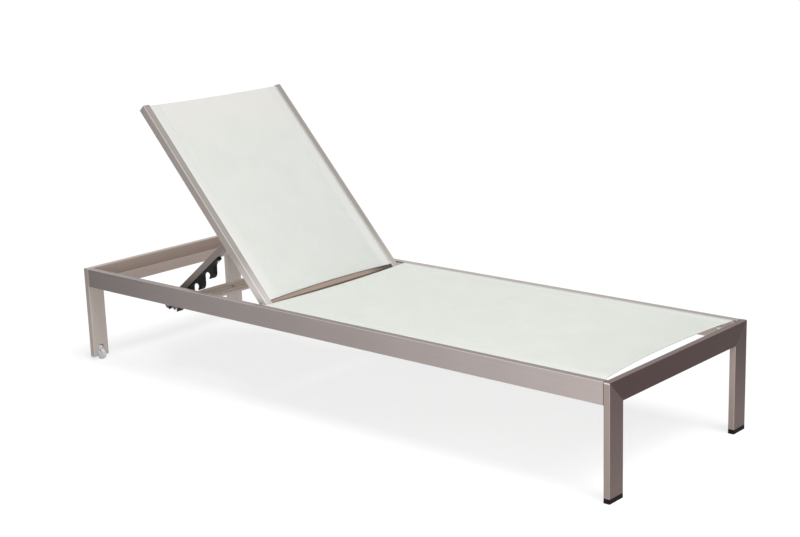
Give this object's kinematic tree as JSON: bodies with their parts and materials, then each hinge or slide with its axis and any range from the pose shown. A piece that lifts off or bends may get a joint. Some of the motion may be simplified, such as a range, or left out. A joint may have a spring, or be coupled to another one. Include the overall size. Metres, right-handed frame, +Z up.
{
  "type": "sun lounger",
  "caption": "Flat-tube aluminium sun lounger with a mesh sling, a reclining backrest on a hooked prop, and two small wheels.",
  "frame": {"origin": "on the floor under the middle of the frame", "axes": "+X towards the foot end, +Y towards the far side, +Z up"},
  "size_m": [1.96, 0.645, 0.8274],
  "materials": {
    "frame_metal": "brushed, champagne anodised",
    "sling_mesh": "woven coated mesh",
    "black_plastic": "moulded",
    "wheel_plastic": "translucent white",
    "steel": "zinc plated",
    "spline_cord": "extruded cord"
  },
  "bodies": {
    "frame": {"head_end_rail": "frame_metal", "foot_end_rail": "frame_metal", "head_leg_near": "frame_metal", "head_leg_far": "frame_metal", "foot_leg_near": "frame_metal", "foot_leg_far": "frame_metal", "side_rail_near": "frame_metal", "side_rail_far": "frame_metal", "foot_caps": "black_plastic", "head_channel": "frame_metal", "mid_cross_beam": "frame_metal", "seat_spreader_1": "frame_metal", "seat_spreader_2": "frame_metal", "corner_brackets": "frame_metal", "corner_bolts": "steel", "corner_washers": "steel", "end_frame_screws": "steel", "hinge_pins": "steel", "hinge_bushes": "frame_metal", "hook_peg_near": "black_plastic", "hook_peg_far": "black_plastic", "peg_screws": "steel", "wheel_fork_near": "wheel_plastic", "wheel_fork_far": "wheel_plastic", "wheel_axles": "steel", "seat_sling": "sling_mesh", "seat_splines": "spline_cord"},
    "backrest": {"back_stile_near": "frame_metal", "back_stile_far": "frame_metal", "back_top_tube": "frame_metal", "back_low_tube": "frame_metal", "back_sling": "sling_mesh", "back_splines": "spline_cord", "stile_caps": "frame_metal", "pivot_bolts": "steel", "pivot_washers": "black_plastic"},
    "prop": {"prop_arm_near": "frame_metal", "prop_arm_far": "frame_metal", "prop_spreader": "frame_metal", "prop_end_caps": "black_plastic", "hook_rack_near": "black_plastic", "hook_rack_far": "black_plastic", "rack_screws": "steel"},
    "wheel_near": {"wheel_near": "wheel_plastic"},
    "wheel_far": {"wheel_far": "wheel_plastic"}
  },
  "joints": [
    {"name": "backrest_recline", "type": "hinge", "parent": "frame", "child": "backrest", "pos_m": [-0.2067, 0, 0.28725], "axis": [0, 1, 0], "range_deg": [-47.85, 16.15]},
    {"name": "prop_fold", "type": "hinge", "parent": "backrest", "child": "prop", "pos_m": [-0.36455, 0, 0.45568], "axis": [0, -1, 0], "range_deg": [-86.05, 29.1]},
    {"name": "wheel_near_spin", "type": "hinge", "parent": "frame", "child": "wheel_near", "pos_m": [-0.9615, -0.2935, 0.016], "axis": [0, 1, 0], "continuous": true},
    {"name": "wheel_far_spin", "type": "hinge", "parent": "frame", "child": "wheel_far", "pos_m": [-0.9615, 0.2935, 0.016], "axis": [0, 1, 0], "continuous": true}
  ],
  "couplings": [
    {"joint": "prop_fold", "follows": "backrest_recline", "ratio": 1.7983}
  ]
}
